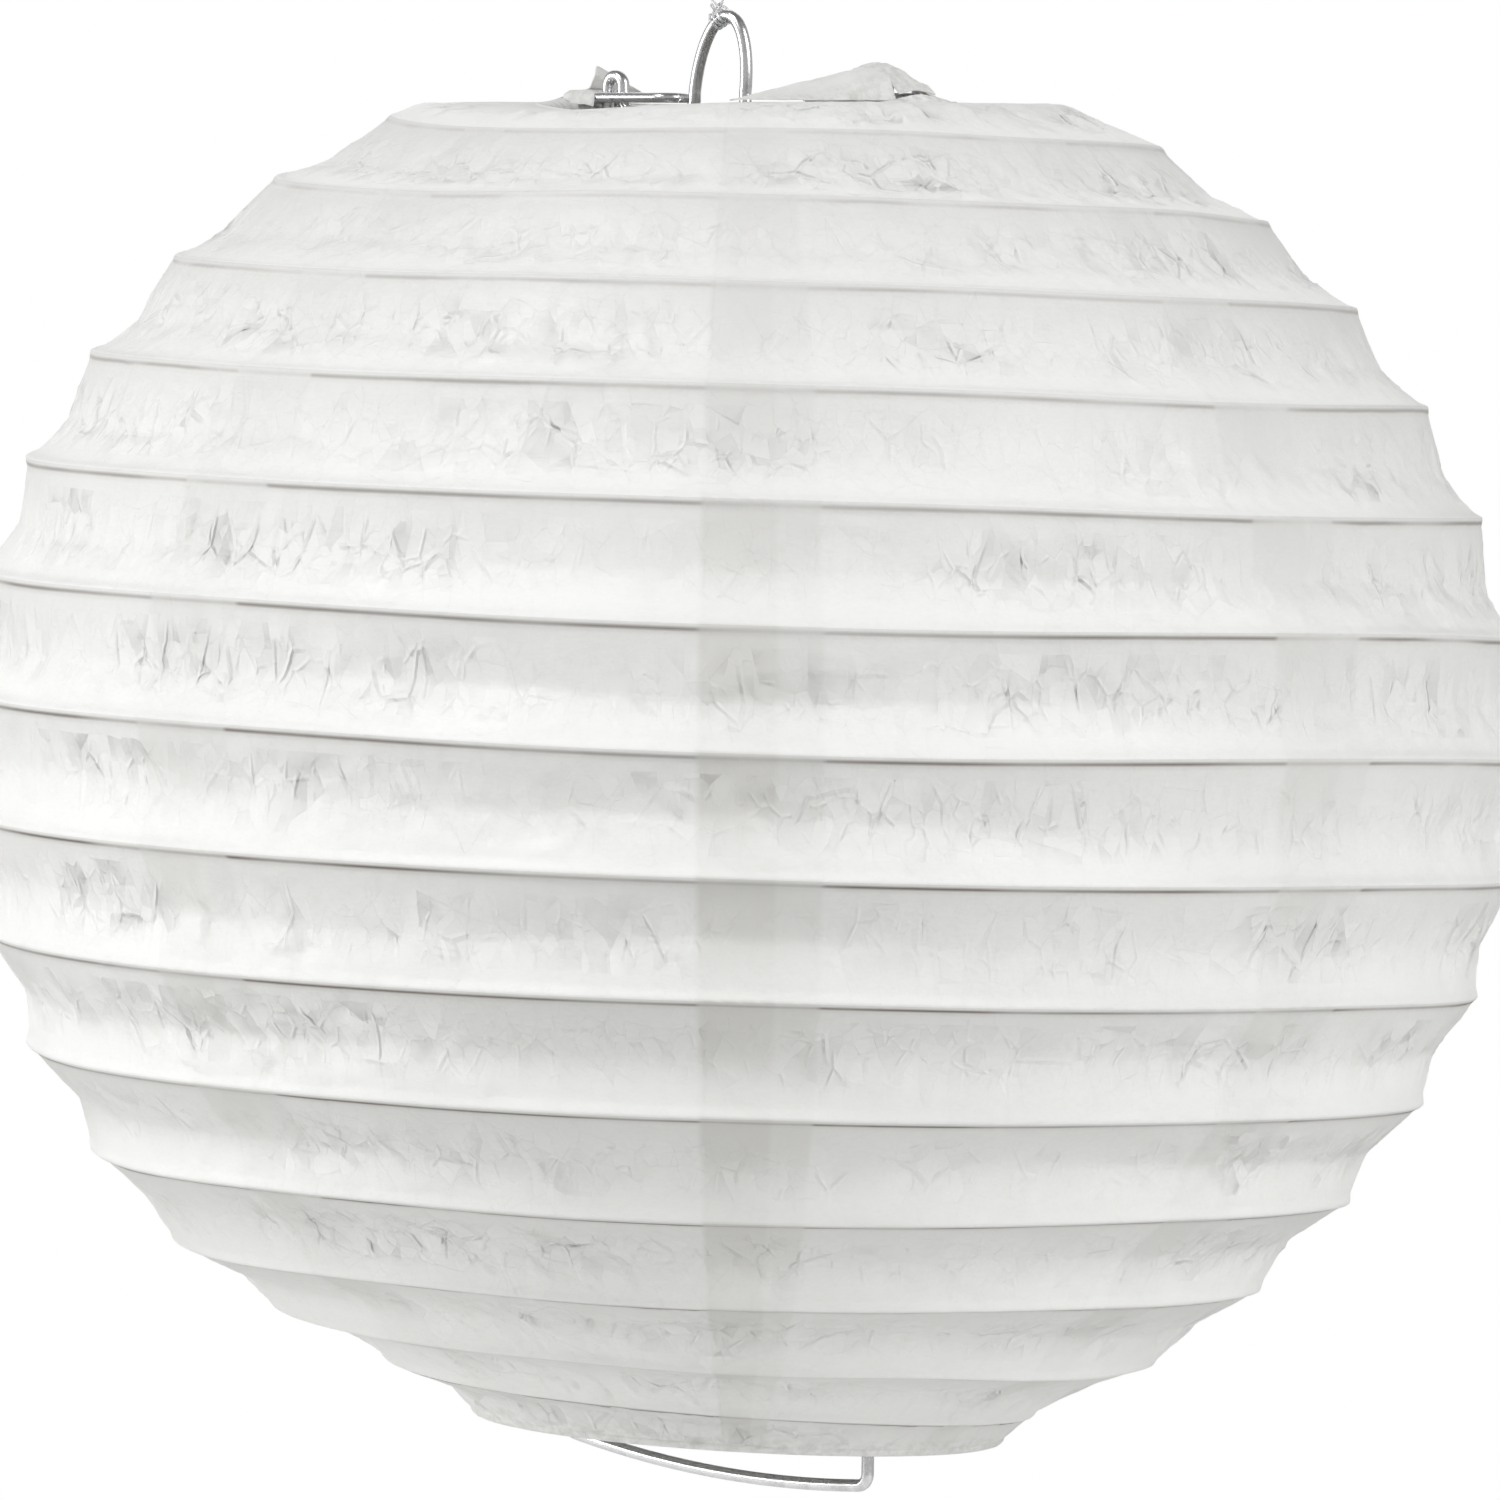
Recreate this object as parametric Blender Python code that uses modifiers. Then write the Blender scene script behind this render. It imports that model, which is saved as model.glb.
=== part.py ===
"""A round paper lantern, hung on the wire expander that holds it open.

Metres, +Z up. The origin is the hang point: the underside of the expander's arch. The expander
is one closed loop of wire in the plane y = 0. The globe hangs on it by two wire ears: they turn
on the top ring and rest on the expander's shoulders, with its two hooks standing through them.
A single spiral rib of wire lies inside the eight paper gores, from the top ring to the bottom
ring. Paper, rib and rings fold flat towards the top ring once the expander is out.

Radii and heights inside the functions are measured from the globe's middle.
"""

import math

import bpy
from mathutils import Vector

# Whole lantern
GLOBE_RADIUS = 0.100
GLOBE_DROP = 0.0930  # globe's middle below the hang point
AXIS_X = 0.0034  # globe's upright axis from the hang point: the arch is a little off centre
GAP = 0.0003  # clearance left between pieces that touch

# Paper and spiral rib
GORES = 8
GORE_COLUMNS = 3
SEAM_ANGLE = math.radians(-46.6)  # first seam, counter-clockwise from +X seen from above
PAPER = 0.0004
SCALLOP = 0.0015  # how far the paper dips in, halfway between two turns of the rib
RIB_WIRE = 0.0014
TURNS = 14
TURN_ARC = math.radians(9.85)  # latitude that the rib drops in one turn
RIB_START = SEAM_ANGLE + math.radians(90)
POLE_HEIGHT = 0.0901  # height the round side would reach on the axis
SIDE_POWER = 0.96  # under 1 makes the side a little fuller than an ellipse
LID_HEIGHT = 0.0826  # flat paper round the top opening
LID_RADIUS = 0.0296
FOOT_RADIUS = 0.0347  # paper's lower edge
FOOT_HEIGHT = -0.0860

# Rings
RING_WIRE = 0.0015
TOP_RING_RADIUS = 0.0268
TOP_RING_HEIGHT = 0.0816
BOTTOM_RING_RADIUS = 0.0332
BOTTOM_RING_HEIGHT = -0.0870
RING_SEGMENTS = 48

# Ears
EAR_WIRE = 0.0013
EAR_REACH = 0.0156  # from the ring's wire to the middle of the loop's inner end
EAR_HALF_WIDTH = 0.0025
EAR_CURL = RING_WIRE / 2 + EAR_WIRE / 2 + GAP  # radius of the curl round the ring
EAR_CURL_END = math.radians(-150)  # where the curl stops, under the ring

# Expander
WIRE = 0.0016
SHOULDER_HEIGHT = TOP_RING_HEIGHT + EAR_CURL - EAR_WIRE / 2 - GAP - WIRE / 2
HOOK_HEIGHT = 0.0861
HOOK_OUTER = 0.0240
HOOK_INNER = 0.0214
BEND = 0.0016
ARCH_MIDDLE = -0.0046
ARCH_HALF_WIDTH = 0.00435
ARCH_LEAN = -AXIS_X - ARCH_MIDDLE  # brings the arch's apex over the hang point
ARCH_SPRING = 0.0840
ARCH_RISE = GLOBE_DROP + WIRE / 2 - ARCH_SPRING
FOOT_RIGHT = (0.0223, -0.0928)
FOOT_LEFT = (-0.0295, -0.0893)
FOOT_BOW = 0.0018  # how far the bottom bar bows down

# Thread tied round the arch
THREAD = 0.0005
THREAD_WRAPS = 2
THREAD_PITCH = 0.0009
THREAD_AT = math.radians(105)  # place on the arch, from its right foot
THREAD_TAIL = 0.0022


def clear_scene():
    for obj in list(bpy.data.objects):
        bpy.data.objects.remove(obj)


def material(name, colour, roughness, metallic=0.0):
    made = bpy.data.materials.new(name)
    made.use_nodes = True
    shader = made.node_tree.nodes["Principled BSDF"]
    shader.inputs["Base Color"].default_value = (*colour, 1)
    shader.inputs["Roughness"].default_value = roughness
    shader.inputs["Metallic"].default_value = metallic
    return made


def add(name, data, look, place=(0, 0, 0), turn=0.0):
    """Puts an object on the globe's frame, with its origin at `place` from the globe's middle."""
    obj = bpy.data.objects.new(name, data)
    obj.data.materials.append(look)
    obj.location = place
    obj.rotation_euler.z = turn
    obj.parent = globe_frame
    lantern.objects.link(obj)
    return obj


def wire(name, points, diameter, look, closed=False, sides=8, place=(0, 0, 0), turn=0.0):
    """A round wire along straight runs between points."""
    curve = bpy.data.curves.new(name, "CURVE")
    curve.dimensions = "3D"
    curve.bevel_depth = diameter / 2
    curve.bevel_resolution = sides // 2 - 2
    curve.use_fill_caps = not closed
    spline = curve.splines.new("POLY")
    spline.points.add(len(points) - 1)
    for target, point in zip(spline.points, points):
        target.co = (*point, 1)
    spline.use_cyclic_u = closed
    return add(name, curve, look, place, turn)


def arc(centre, radius, start, end, steps):
    """Points on a circle in a plane, as (across, up), both ends included."""
    return [
        (
            centre[0] + radius * math.cos(start + (end - start) * i / steps),
            centre[1] + radius * math.sin(start + (end - start) * i / steps),
        )
        for i in range(steps + 1)
    ]


def rounded(before, corner, after, radius, steps=5):
    """The bend that replaces a corner, as (across, up) points."""
    corner = Vector(corner)
    one = (Vector(before) - corner).normalized()
    two = (Vector(after) - corner).normalized()
    half = one.angle(two) / 2
    middle = corner + (one + two).normalized() * radius / math.sin(half)
    start = corner + one * radius / math.tan(half) - middle
    end = corner + two * radius / math.tan(half) - middle
    sweep = start.angle(end)
    return [
        tuple(
            middle
            + (start * math.sin(sweep * (1 - i / steps)) + end * math.sin(sweep * i / steps))
            / math.sin(sweep)
        )
        for i in range(steps + 1)
    ]


def round_side(turn):
    """(radius, height) of the paper's outer face where the rib has made this many turns."""
    latitude = TURN_ARC * (TURNS / 2 - turn)
    height = min(POLE_HEIGHT * math.sin(latitude), LID_HEIGHT)
    return Vector((GLOBE_RADIUS * math.cos(latitude) ** SIDE_POWER, height))


def outline(turn):
    """The round side, with the flat lid for turns from -0.5 to 0 and the foot for half a turn after it."""
    if turn < 0:
        return round_side(0).lerp(Vector((LID_RADIUS, LID_HEIGHT)), -2 * turn)
    if turn > TURNS:
        return round_side(TURNS).lerp(Vector((FOOT_RADIUS, FOOT_HEIGHT)), 2 * (turn - TURNS))
    return round_side(turn)


def inwards(turn):
    """Unit direction into the globe, square to the outline."""
    step = 0.01
    along = outline(turn + step) - outline(turn - step)
    return Vector((along.y, -along.x)).normalized()


def around(radius, height, angle):
    return Vector((radius * math.cos(angle), radius * math.sin(angle), height))


def rib_turn(angle):
    """Turns that the rib has made, under one, where it first passes this angle."""
    return ((angle - RIB_START) / math.tau + 1e-9) % 1


def gore_turns(first):
    """The rows of a gore at an angle where the rib first passes after `first` turns."""
    middle = [first + i / 2 for i in range(2 * TURNS - 1)]
    above = (first - 0.5) / 2
    below = (middle[-1] + TURNS + 0.5) / 2
    return [-0.5, above, *middle, below, TURNS + 0.5]


def gore(name, start, look):
    """One leaf of paper between two seams, dipping in between the turns of the rib."""
    rows = []
    for column in range(GORE_COLUMNS + 1):
        share = column / GORE_COLUMNS
        angle = start + share * math.tau / GORES
        first = rib_turn(start + 0.5 * math.tau / GORES) + (share - 0.5) / GORES
        line = []
        for turn in gore_turns(first):
            inside = first <= turn <= first + TURNS - 1
            dip = SCALLOP * abs(math.sin(math.pi * (turn - first))) if inside else 0
            radius, height = outline(turn) + inwards(turn) * dip
            trim = GAP / 2 / radius * (1 - 2 * share) if column in (0, GORE_COLUMNS) else 0
            line.append(around(radius, height, angle + trim))
        rows.append(line)
    count = len(rows[0])
    points = [point for line in rows for point in line]
    faces = [
        (c * count + r, c * count + r + 1, (c + 1) * count + r + 1, (c + 1) * count + r)
        for c in range(GORE_COLUMNS)
        for r in range(count - 1)
    ]
    mesh = bpy.data.meshes.new(name)
    mesh.from_pydata(points, [], faces)
    mesh.shade_smooth()
    leaf = add(name, mesh, look)
    shell = leaf.modifiers.new("paper", "SOLIDIFY")
    shell.thickness = PAPER
    shell.offset = -1
    return leaf


def rib_path():
    steps = GORES * GORE_COLUMNS
    depth = PAPER + GAP + RIB_WIRE / 2
    for step in range(steps * TURNS + 1):
        turn = step / steps
        radius, height = outline(turn) + inwards(turn) * depth
        yield around(radius, height, RIB_START + math.tau * turn)


def ring(name, radius, height, look):
    bpy.ops.mesh.primitive_torus_add(
        major_radius=radius,
        minor_radius=RING_WIRE / 2,
        major_segments=RING_SEGMENTS,
        minor_segments=8,
    )
    made = bpy.context.object
    mesh = made.data
    bpy.data.objects.remove(made)
    mesh.name = name
    mesh.shade_smooth()
    return add(name, mesh, look, (0, 0, height))


def ear_path():
    """A hairpin reaching from the ring towards the axis, each end curled round the ring."""
    curl = arc((0, 0), EAR_CURL, EAR_CURL_END, math.radians(90), 8)
    near = [(across, -EAR_HALF_WIDTH, up) for across, up in curl]
    middle = (EAR_HALF_WIDTH - EAR_REACH, 0)
    tip = arc(middle, EAR_HALF_WIDTH, math.radians(-90), math.radians(-270), 8)
    far = [(across, EAR_HALF_WIDTH, up) for across, up in reversed(curl)]
    return near + [(across, side, EAR_CURL) for across, side in tip] + far


def arch_point(angle):
    across = ARCH_MIDDLE + ARCH_HALF_WIDTH * math.cos(angle) + ARCH_LEAN * math.sin(angle)
    return across, ARCH_SPRING + ARCH_RISE * math.sin(angle)


def bar_point(share):
    """A point on the bottom bar, from its left end to its right."""
    left, right = Vector(FOOT_LEFT), Vector(FOOT_RIGHT)
    across, up = left.lerp(right, share)
    return across, up - 4 * FOOT_BOW * share * (1 - share)


def hook(side):
    """A hook from its leg to its shoulder: two strands with a half round over them."""
    top = HOOK_HEIGHT - (HOOK_OUTER - HOOK_INNER) / 2
    centre = ((HOOK_OUTER + HOOK_INNER) / 2, top)
    bend = arc(centre, (HOOK_OUTER - HOOK_INNER) / 2, 0, math.pi, 8)
    return [(side * across, up) for across, up in bend]


def expander_path():
    """Round the loop: right leg, hook, shoulder, arch, shoulder, hook, left leg, bottom bar."""
    right_leg, left_leg = hook(1), hook(-1)
    right_arch, left_arch = arch_point(0), arch_point(math.pi)
    shoulder = [
        (HOOK_INNER, SHOULDER_HEIGHT),
        (right_arch[0], SHOULDER_HEIGHT),
        (left_arch[0], SHOULDER_HEIGHT),
        (-HOOK_INNER, SHOULDER_HEIGHT),
    ]
    arch = [arch_point(math.pi * i / 16) for i in range(17)]
    bar = [bar_point(i / 12) for i in range(1, 12)]
    path = right_leg
    path += rounded(right_leg[-1], shoulder[0], shoulder[1], BEND)
    path += rounded(shoulder[0], shoulder[1], right_arch, BEND)[:-1] + arch
    path += rounded(left_arch, shoulder[2], shoulder[3], BEND)[1:]
    path += rounded(shoulder[2], shoulder[3], left_leg[-1], BEND)
    path += reversed(left_leg)
    path += rounded(left_leg[0], FOOT_LEFT, bar[0], BEND)
    path += bar
    path += rounded(bar[-1], FOOT_RIGHT, right_leg[0], BEND)
    return [(across, 0, up) for across, up in path]


def thread_path():
    """Wraps round the arch's wire, with a short cut tail standing up at each end."""
    step = 0.01
    centre = Vector(arch_point(THREAD_AT))
    along = (Vector(arch_point(THREAD_AT + step)) - centre).normalized()
    out = Vector((along.y, -along.x))
    radius = WIRE / 2 + GAP + THREAD / 2
    per_wrap = 12
    count = THREAD_WRAPS * per_wrap
    wraps = []
    for i in range(count + 1):
        angle = math.tau * i / per_wrap
        shift = THREAD_PITCH * (i / per_wrap - THREAD_WRAPS / 2)
        across, up = centre + along * shift + out * radius * math.cos(angle)
        wraps.append(Vector((across, radius * math.sin(angle), up)))
    rise = Vector((out.x, 0, out.y)) * THREAD_TAIL
    spread = Vector((along.x, 0, along.y)) * THREAD_PITCH
    return [wraps[0] + rise - spread, *wraps, wraps[-1] + rise * 0.6 + spread]


clear_scene()
lantern = bpy.data.collections.new("paper_lantern")
bpy.context.scene.collection.children.link(lantern)
globe_frame = bpy.data.objects.new("globe_middle", None)
globe_frame.location = (AXIS_X, 0, -GLOBE_DROP)
lantern.objects.link(globe_frame)

paper = material("paper", (0.9, 0.9, 0.88), 0.85)
rib_steel = material("rib_steel", (0.45, 0.44, 0.42), 0.45, 1.0)
zinc = material("zinc_wire", (0.62, 0.63, 0.65), 0.25, 1.0)
nylon = material("clear_nylon", (0.9, 0.91, 0.92), 0.2)

for number in range(GORES):
    seam = SEAM_ANGLE + math.tau * number / GORES
    gore(f"paper_gore_{number + 1}", seam, paper)
wire("rib_spiral", list(rib_path()), RIB_WIRE, rib_steel, sides=6)
ring("top_ring", TOP_RING_RADIUS, TOP_RING_HEIGHT, rib_steel)
ring("bottom_ring", BOTTOM_RING_RADIUS, BOTTOM_RING_HEIGHT, rib_steel)
ear = (TOP_RING_RADIUS, 0, TOP_RING_HEIGHT)
wire("ear_right", ear_path(), EAR_WIRE, zinc, place=ear)
wire("ear_left", ear_path(), EAR_WIRE, zinc, place=(-ear[0], 0, ear[2]), turn=math.pi)
wire("expander_wire", expander_path(), WIRE, zinc, closed=True)
wire("thread_tie", thread_path(), THREAD, nylon)
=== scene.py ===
"""Looks of the round paper lantern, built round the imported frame.

Each gore is one sheet of thin paper, glued over the spiral rib and lapped under its neighbour. Its hem
is a piece of its own, so that it keeps its roll round the lower ring when the globe folds. One field of
creases and dips shapes every sheet, so that lapped layers never cross. Wires are redrawn as smooth round
tubes on the CAD pieces' own lines.
"""

import math

import bpy
import numpy as np
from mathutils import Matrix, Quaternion, Vector


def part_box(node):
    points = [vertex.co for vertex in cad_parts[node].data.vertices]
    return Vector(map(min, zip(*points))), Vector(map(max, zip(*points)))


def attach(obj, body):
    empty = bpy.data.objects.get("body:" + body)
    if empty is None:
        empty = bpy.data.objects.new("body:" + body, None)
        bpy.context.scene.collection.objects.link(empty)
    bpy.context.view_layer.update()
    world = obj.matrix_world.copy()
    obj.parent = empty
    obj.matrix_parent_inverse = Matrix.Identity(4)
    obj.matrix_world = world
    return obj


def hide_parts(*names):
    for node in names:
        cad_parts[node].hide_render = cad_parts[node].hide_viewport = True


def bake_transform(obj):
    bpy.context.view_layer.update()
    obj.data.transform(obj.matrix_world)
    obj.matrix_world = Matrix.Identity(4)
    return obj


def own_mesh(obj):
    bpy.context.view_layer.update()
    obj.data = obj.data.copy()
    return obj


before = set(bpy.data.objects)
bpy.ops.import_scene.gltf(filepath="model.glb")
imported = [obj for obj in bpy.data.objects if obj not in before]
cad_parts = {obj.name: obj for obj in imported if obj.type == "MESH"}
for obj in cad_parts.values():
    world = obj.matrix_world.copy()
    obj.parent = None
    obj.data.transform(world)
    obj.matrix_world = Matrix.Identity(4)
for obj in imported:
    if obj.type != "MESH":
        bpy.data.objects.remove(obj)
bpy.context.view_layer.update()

MM = 0.001


def middle(node):
    low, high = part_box(node)
    return (low + high) / 2


def span(node):
    low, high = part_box(node)
    return high - low


# Read off the frame
TOP_RING = middle("top_ring")
BOTTOM_RING = middle("bottom_ring")
RING_WIRE = span("top_ring").z
TOP_RING_RADIUS = (span("top_ring").x - RING_WIRE) / 2
BOTTOM_RING_RADIUS = (span("bottom_ring").x - RING_WIRE) / 2
EXPANDER_WIRE = span("expander_wire").y
AXIS_X = TOP_RING.x

# The globe, as the frame's own design has it
GLOBE_RADIUS = 0.100
GLOBE_MIDDLE = -0.0930
GORES = 8
SEAM_ANGLE = math.radians(-46.6)
TURNS = 14
TURN_ARC = math.radians(9.85)
RIB_START = SEAM_ANGLE + math.radians(90)
RIB_WIRE = 0.0014
POLE_HEIGHT = 0.0901
SIDE_POWER = 0.96
LID_HEIGHT = 0.0826
BAND = 16.0  # width of a turn along the paper, in millimetres

# Paper
LAP_STRONG_SHADE = 0.63  # share of the lap, from its left, that gets the stronger painted shade
PAPER = 0.00012
BEAD = 0.42  # how far the paper steps down beside the rib, in millimetres
DIP = 1.90  # how far it then dips in by the middle of a band, in millimetres
TOP_DIP = 0.0012  # how far the top ring is bent down on its near left side
TOP_DIP_AT = math.radians(-93)
TOP_DIP_WIDTH = math.radians(31)
TOP_START, TOP_REACH = 0.3, 2.4  # that bend fades out from this turn, over this many
FOOT_LEAN = 0.052  # slope of the bottom ring
FOOT_RISE = 0.0011  # how far it hangs above its level place
FOOT_LOW_SIDE = math.radians(42)
FOOT_START, FOOT_REACH = 11.0, 3.2  # its lean sets in from this turn, over this many
EAR_LUMP = 1.30  # how far the lid's paper stands up over an ear's root, in millimetres
EAR_LUMP_AT = 0.0291  # the lump's distance from the globe's axis
EAR_LUMP_WIDTH = 4.6  # in millimetres, along the rim
LAP = 0.0150  # width of the glued lap between two gores, at the equator
LAYER_GAP = 0.00015  # between the outer faces of two lapped layers
ROLL_GAP = 0.00003  # between a ring's wire and the paper rolled round it
ROLL_LAYER_GAP = 0.00002  # between two layers of that roll
SEAM_LAP_SHADE = (1.0, 0.45, 0.6, 0.5, 0.7, 0.5, 0.6, 0.45)  # how much painted shade each seam's lap gets

CAMERA_AZIMUTH = math.radians(42)
CAMERA_ELEVATION = math.radians(2.4)
CAMERA_DISTANCE = 1.70
CAMERA_WIDTH = 0.1918  # what the picture spans at the globe's axis
CAMERA_ROLL = math.radians(0.40)
CAMERA_ASIDE = 0.0010  # how far right of the globe's axis the picture's middle lies


# ---------------------------------------------------------------- noise

def lattice(ix, iy, iz, seed):
    """A repeatable number from 0 to 1 for each lattice point."""
    h = (ix * 374761393 + iy * 668265263 + iz * 2147483647 + seed * 144665) & 0xFFFFFFFF
    h = ((h ^ (h >> 13)) * 1274126177) & 0xFFFFFFFF
    h = ((h ^ (h >> 15)) * 2246822519) & 0xFFFFFFFF
    return ((h ^ (h >> 16)) & 0xFFFF) / 65535.0


def noise(x, y, z, seed):
    """Smooth noise from -1 to 1."""
    fx, fy, fz = np.floor(x), np.floor(y), np.floor(z)
    ix, iy, iz = (v.astype(np.int64) for v in (fx, fy, fz))
    ux, uy, uz = (t * t * t * (t * (t * 6 - 15) + 10) for t in (x - fx, y - fy, z - fz))
    total = 0
    for dx in (0, 1):
        for dy in (0, 1):
            for dz in (0, 1):
                weight = (ux if dx else 1 - ux) * (uy if dy else 1 - uy) * (uz if dz else 1 - uz)
                total = total + weight * lattice(ix + dx, iy + dy, iz + dz, seed)
    return 2 * total - 1


def around_noise(angle, along, wide, tall, seed, lean=0.0):
    """Noise on the globe's skin. wide and tall are its features' size in millimetres, at the equator."""
    radius = 100.0 / wide
    turned = angle + lean * along / 100.0
    return noise(radius * np.cos(turned) + 50, radius * np.sin(turned) + 50, along / tall + 50, seed)


def creases(angle, along, wide, tall, seed, lean, sharp):
    """Thin raised lines where noise passes through nought."""
    return (1 - np.abs(around_noise(angle, along, wide, tall, seed, lean))) ** sharp


def facets(angle, along, across, tall, seed):
    """Height of a crumpled sheet, made of flat facets that each tilt their own way up to 45 degrees.

    across and tall are the facets' size in millimetres, and so is the height.
    """
    cells = round(math.tau * 100 / across)
    u = (angle % math.tau) / math.tau * cells
    v = along / tall
    iu, iv = np.floor(u).astype(np.int64), np.floor(v).astype(np.int64)
    nearest = np.full(np.shape(u), np.inf)
    height = np.zeros(np.shape(u))
    for du in (-1, 0, 1):
        for dv in (-1, 0, 1):
            cu, cv = (iu + du) % cells, iv + dv
            off_u = (u - iu - du - lattice(cu, cv, 0, seed)) * across
            off_v = (v - cv - lattice(cu, cv, 1, seed)) * tall
            tilt_u = 2 * lattice(cu, cv, 2, seed) - 1
            tilt_v = 2 * lattice(cu, cv, 3, seed) - 1
            distance = off_u**2 + off_v**2
            nearer = distance < nearest
            height = np.where(nearer, tilt_u * off_u + tilt_v * off_v, height)
            nearest = np.minimum(distance, nearest)
    return height


def bell(x, width):
    return np.exp(-((x / width) ** 2))


# ---------------------------------------------------------------- the globe's skin

def round_side(turn):
    """(radius, height) of the globe's side at a turn of the rib, held down at the lid's height."""
    latitude = TURN_ARC * (TURNS / 2 - turn)
    radius = GLOBE_RADIUS * np.cos(latitude) ** SIDE_POWER
    return radius, np.minimum(POLE_HEIGHT * np.sin(latitude), LID_HEIGHT)


def outline(turn):
    """(radius, height) of the skin. Half a turn past either end of the rib it reaches that end's ring."""
    radius, height = round_side(np.clip(turn, 0, TURNS))
    ring_top = TOP_RING.z - GLOBE_MIDDLE + RING_WIRE / 2 + PAPER
    ring_low = BOTTOM_RING.z - GLOBE_MIDDLE
    lid = np.clip(-2 * turn, 0, 1)
    foot = np.clip(2 * (turn - TURNS), 0, 1)
    radius = radius + lid * (TOP_RING_RADIUS - radius) + foot * (
        BOTTOM_RING_RADIUS + RING_WIRE / 2 + PAPER - radius
    )
    height = height + lid * (ring_top - height) + foot * (ring_low - height)
    return radius, height


def inwards(turn):
    """The direction, as (radius, height), that points into the globe from its outline."""
    step = 0.01
    r0, z0 = outline(turn - step)
    r1, z1 = outline(turn + step)
    dr, dz = r1 - r0, z1 - z0
    length = np.hypot(dr, dz)
    return dz / length, -dr / length


def rib_phase(angle):
    """Turns the rib has made, under one, where it first passes this angle."""
    return ((angle - RIB_START) / math.tau + 1e-9) % 1


def rib_sway(angle, turn):
    """How far the hand-set rib strays, outward and along the skin, in millimetres."""
    along = turn * BAND
    free = np.clip(np.minimum(turn, TURNS - turn), 0, 1)
    out = 0.45 * around_noise(angle, along, 55, 30, 3)
    down = 0.55 * around_noise(angle, along, 70, 34, 4)
    return out * free, down * free


def seam_distance(angle):
    """Distance from the nearest seam's lap, in millimetres at the equator, nought inside the lap."""
    pitch = math.tau / GORES
    off = (angle - SEAM_ANGLE + pitch / 2) % pitch - pitch / 2
    return np.maximum(np.abs(off) * 100 - LAP / MM / 2, 0)


def skin_depth(angle, turn):
    """Depth of the paper below the outline, in millimetres, with all its creases."""
    phase = (turn - rib_phase(angle)) % 1
    along = turn * BAND
    ribbed = (turn >= rib_phase(angle) - 1e-6) & (turn <= rib_phase(angle) + TURNS - 1)
    wobble = phase ** 1.22 + 0.06 * around_noise(angle, along, 34, 16, 11) * np.sin(math.pi * phase)
    fold = 1 - np.abs(2 * wobble - 1)
    hollow = np.sin(math.pi * np.clip(wobble, 0, 1))
    crisp = 0.5 + 0.5 * around_noise(angle, along, 46, 24, 12)
    shape = (0.45 + 0.45 * crisp) * fold + (0.55 - 0.45 * crisp) * hollow
    slack = 1 + 0.28 * around_noise(angle, along, 38, 26, 13)
    away = np.minimum(phase, 1 - phase) * BAND
    round_bead = BEAD * (1 - bell(away, 0.72))
    flat_end = np.clip((turn + 0.25) / 0.5, 0, 1) * np.clip((TURNS + 0.3 - turn) / 0.5, 0, 1)
    depth = round_bead * np.where(ribbed, 1, 1 - bell(0.0, 1)) + DIP * slack * shape * np.where(
        ribbed, 1, 0.45
    ) * flat_end
    return depth + crumples(angle, phase, along) * flat_end


def crumples(angle, phase, along):
    """Creases of thin paper that has been folded flat, as depth in millimetres."""
    centre = bell(phase - 0.60, 0.27)
    clear = 1 - bell(np.minimum(phase, 1 - phase), 0.055)
    patch = np.clip(0.40 + 1.1 * around_noise(angle, along, 44, 28, 21), 0.05, 1)
    near = bell(seam_distance(angle), 9)
    torn = np.clip(2.2 * around_noise(angle, along, 30, 15, 28), 0, 1)
    lean = angle + 0.0035 * along
    broken = facets(lean, along, 9.0, 8.0, 31) * 0.069
    broken = broken + facets(lean - 0.008 * along, along, 4.5, 7.0, 32) * 0.077
    sharp = 0.20 * creases(angle, along, 12, 10, 24, 0.9, 12)
    sharp = sharp + 0.18 * creases(angle, along, 13, 9, 25, -1.2, 13)
    puckers = 0.30 * creases(angle, along, 9, 8, 29, 1.4, 7) * near * torn
    level = 0.10 * creases(angle, along, 40, 6, 27, 0.05, 8)
    broad = 0.14 * around_noise(angle, along, 15, 9, 30)
    rough = (broken - sharp) * (0.25 + 0.75 * patch) - puckers
    return (rough * (0.30 + 0.70 * centre) - level * (0.3 + 0.7 * patch) + broad) * clear


def smooth_step(x):
    x = np.clip(x, 0, 1)
    return x * x * (3 - 2 * x)


def settle(points, turn):
    """Leans the skin's two ends with their rings, which hang a little out of level."""
    points = np.array(points, float)
    x, y = points[..., 0] - AXIS_X, points[..., 1]
    top = smooth_step(1 - (turn - TOP_START) / TOP_REACH)
    foot = smooth_step((turn - FOOT_START) / FOOT_REACH)
    low_side = x * math.cos(FOOT_LOW_SIDE) + y * math.sin(FOOT_LOW_SIDE)
    bent = bell(np.arctan2(y, x) - TOP_DIP_AT, TOP_DIP_WIDTH)
    points[..., 2] += foot * (FOOT_RISE - FOOT_LEAN * low_side) - top * TOP_DIP * bent
    return points


def ear_lump(points):
    """How far the lid's paper stands up where it is glued over the root of an ear, in metres."""
    x, y = points[..., 0] - AXIS_X, points[..., 1]
    radius = np.hypot(x, y)
    outer = bell((radius - EAR_LUMP_AT) / MM, 1.0)
    return EAR_LUMP * MM * outer * bell(y / MM, EAR_LUMP_WIDTH) * (points[..., 2] > TOP_RING.z - 2 * MM)


def skin(angle, turn, layer):
    """Points on the skin, for arrays of angle and turn. layer 1 is the sheet lapped underneath."""
    out, down = rib_sway(angle, turn)
    moved = turn + down / BAND
    radius, height = outline(moved)
    in_r, in_z = inwards(moved)
    depth = (skin_depth(angle, turn) - out) * MM + layer * LAYER_GAP
    radius = radius + in_r * depth
    height = height + in_z * depth
    return place(radius, height, angle)


def place(radius, height, angle):
    return np.stack(
        [AXIS_X + radius * np.cos(angle), radius * np.sin(angle), GLOBE_MIDDLE + height], -1
    )


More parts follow.
